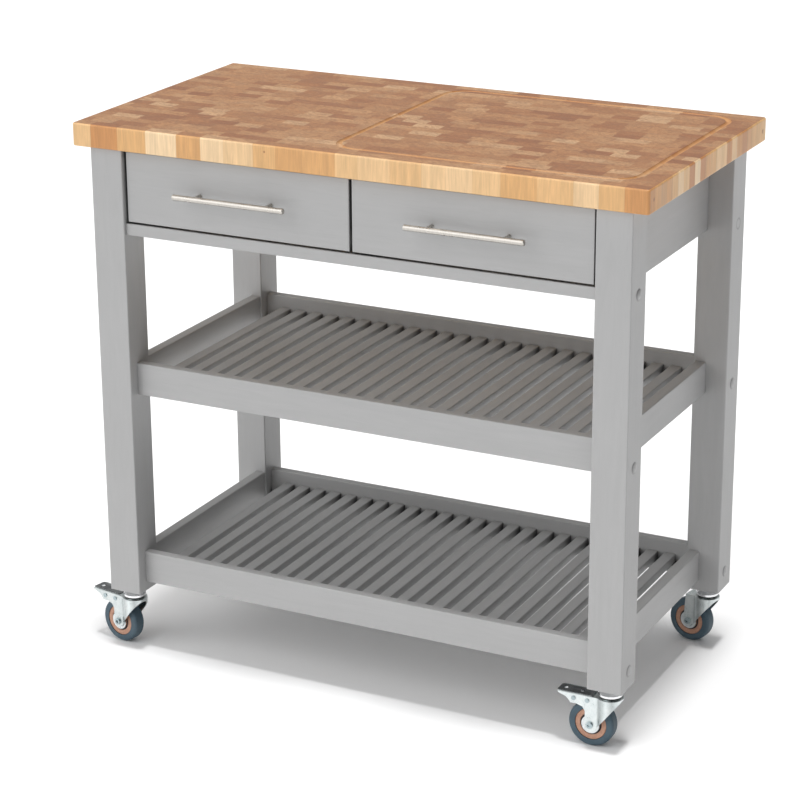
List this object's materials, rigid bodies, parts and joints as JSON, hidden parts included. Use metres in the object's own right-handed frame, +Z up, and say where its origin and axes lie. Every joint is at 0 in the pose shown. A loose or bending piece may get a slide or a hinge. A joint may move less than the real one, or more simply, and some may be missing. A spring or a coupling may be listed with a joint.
{
  "type": "kitchen island cart",
  "caption": "Rolling kitchen island with a butcher-block top, juice groove, drawers, slatted shelves and swivel casters, some with brakes.",
  "frame": {"origin": "on the floor, under the centre of the worktop's footprint", "axes": "+X to the right and -Y towards the front, where the drawers open; +Z up"},
  "size_m": [1.0152, 0.5217, 0.9144],
  "materials": {
    "butcher_block": "oiled end-grain butcher block",
    "painted_wood": "satin warm grey paint on wood",
    "drawer_box_wood": "clear-lacquered pale plywood",
    "zinc_steel": "bright zinc-plated pressed steel",
    "brushed_nickel": "brushed nickel plating",
    "wheel_centre": "terracotta moulded plastic",
    "wheel_rubber": "slate-blue grey rubber tread"
  },
  "bodies": {
    "frame": {"worktop": "butcher_block", "leg_front_left": "painted_wood", "leg_front_right": "painted_wood", "leg_back_left": "painted_wood", "leg_back_right": "painted_wood", "apron_left": "painted_wood", "apron_right": "painted_wood", "apron_back": "painted_wood", "drawer_rail": "painted_wood", "drawer_divider": "painted_wood", "cabinet_glides": "zinc_steel", "lower_shelf_front_rail": "painted_wood", "lower_shelf_back_rail": "painted_wood", "lower_shelf_left_rail": "painted_wood", "lower_shelf_right_rail": "painted_wood", "lower_shelf_slats": "painted_wood", "upper_shelf_front_rail": "painted_wood", "upper_shelf_back_rail": "painted_wood", "upper_shelf_left_rail": "painted_wood", "upper_shelf_right_rail": "painted_wood", "upper_shelf_slats": "painted_wood", "shelf_cleats": "painted_wood", "bolt_caps": "painted_wood", "frame_bolts": "zinc_steel", "top_brackets": "zinc_steel", "caster_stems": "zinc_steel"},
    "drawer_left": {"drawer_left_front": "painted_wood", "drawer_left_inner_side": "drawer_box_wood", "drawer_left_outer_side": "drawer_box_wood", "drawer_left_back": "drawer_box_wood", "drawer_left_bottom": "drawer_box_wood", "drawer_left_glides": "zinc_steel", "drawer_left_handle": "brushed_nickel", "drawer_left_handle_screws": "zinc_steel"},
    "drawer_right": {"drawer_right_front": "painted_wood", "drawer_right_inner_side": "drawer_box_wood", "drawer_right_outer_side": "drawer_box_wood", "drawer_right_back": "drawer_box_wood", "drawer_right_bottom": "drawer_box_wood", "drawer_right_glides": "zinc_steel", "drawer_right_handle": "brushed_nickel", "drawer_right_handle_screws": "zinc_steel"},
    "swivel_front_left": {"fork_front_left": "zinc_steel", "axle_set_front_left": "zinc_steel"},
    "wheel_front_left": {"hub_front_left": "wheel_centre", "tyre_front_left": "wheel_rubber"},
    "brake_front_left": {"brake_pedal_front_left": "zinc_steel"},
    "swivel_front_right": {"fork_front_right": "zinc_steel", "axle_set_front_right": "zinc_steel"},
    "wheel_front_right": {"hub_front_right": "wheel_centre", "tyre_front_right": "wheel_rubber"},
    "brake_front_right": {"brake_pedal_front_right": "zinc_steel"},
    "swivel_back_left": {"fork_back_left": "zinc_steel", "axle_set_back_left": "zinc_steel"},
    "wheel_back_left": {"hub_back_left": "wheel_centre", "tyre_back_left": "wheel_rubber"},
    "swivel_back_right": {"fork_back_right": "zinc_steel", "axle_set_back_right": "zinc_steel"},
    "wheel_back_right": {"hub_back_right": "wheel_centre", "tyre_back_right": "wheel_rubber"}
  },
  "joints": [
    {"name": "drawer_left_slide", "type": "slide", "parent": "frame", "child": "drawer_left", "axis": [0, -1, 0], "range_m": [0, 0.28]},
    {"name": "drawer_right_slide", "type": "slide", "parent": "frame", "child": "drawer_right", "axis": [0, -1, 0], "range_m": [0, 0.28]},
    {"name": "swivel_front_left", "type": "hinge", "parent": "frame", "child": "swivel_front_left", "pos_m": [-0.4365, -0.216, 0], "axis": [0, 0, 1], "continuous": true},
    {"name": "wheel_spin_front_left", "type": "hinge", "parent": "swivel_front_left", "child": "wheel_front_left", "pos_m": [-0.46399, -0.21066, 0.038], "axis": [-0.1908, -0.9816, 0], "continuous": true},
    {"name": "brake_front_left", "type": "hinge", "parent": "swivel_front_left", "child": "brake_front_left", "pos_m": [-0.46889, -0.2097, 0.079], "axis": [-0.1908, -0.9816, 0], "range_deg": [0, 8]},
    {"name": "swivel_front_right", "type": "hinge", "parent": "frame", "child": "swivel_front_right", "pos_m": [0.4365, -0.216, 0], "axis": [0, 0, 1], "continuous": true},
    {"name": "wheel_spin_front_right", "type": "hinge", "parent": "swivel_front_right", "child": "wheel_front_right", "pos_m": [0.4085, -0.216, 0.038], "axis": [0, -1, 0], "continuous": true},
    {"name": "brake_front_right", "type": "hinge", "parent": "swivel_front_right", "child": "brake_front_right", "pos_m": [0.4035, -0.216, 0.079], "axis": [0, -1, 0], "range_deg": [0, 8]},
    {"name": "swivel_back_left", "type": "hinge", "parent": "frame", "child": "swivel_back_left", "pos_m": [-0.4365, 0.216, 0], "axis": [0, 0, 1], "continuous": true},
    {"name": "wheel_spin_back_left", "type": "hinge", "parent": "swivel_back_left", "child": "wheel_back_left", "pos_m": [-0.46423, 0.2199, 0.038], "axis": [-0.1392, -0.9903, 0], "continuous": true},
    {"name": "swivel_back_right", "type": "hinge", "parent": "frame", "child": "swivel_back_right", "pos_m": [0.4365, 0.216, 0], "axis": [0, 0, 1], "continuous": true},
    {"name": "wheel_spin_back_right", "type": "hinge", "parent": "swivel_back_right", "child": "wheel_back_right", "pos_m": [0.40892, 0.22086, 0.038], "axis": [-0.1736, -0.9848, 0], "continuous": true}
  ]
}
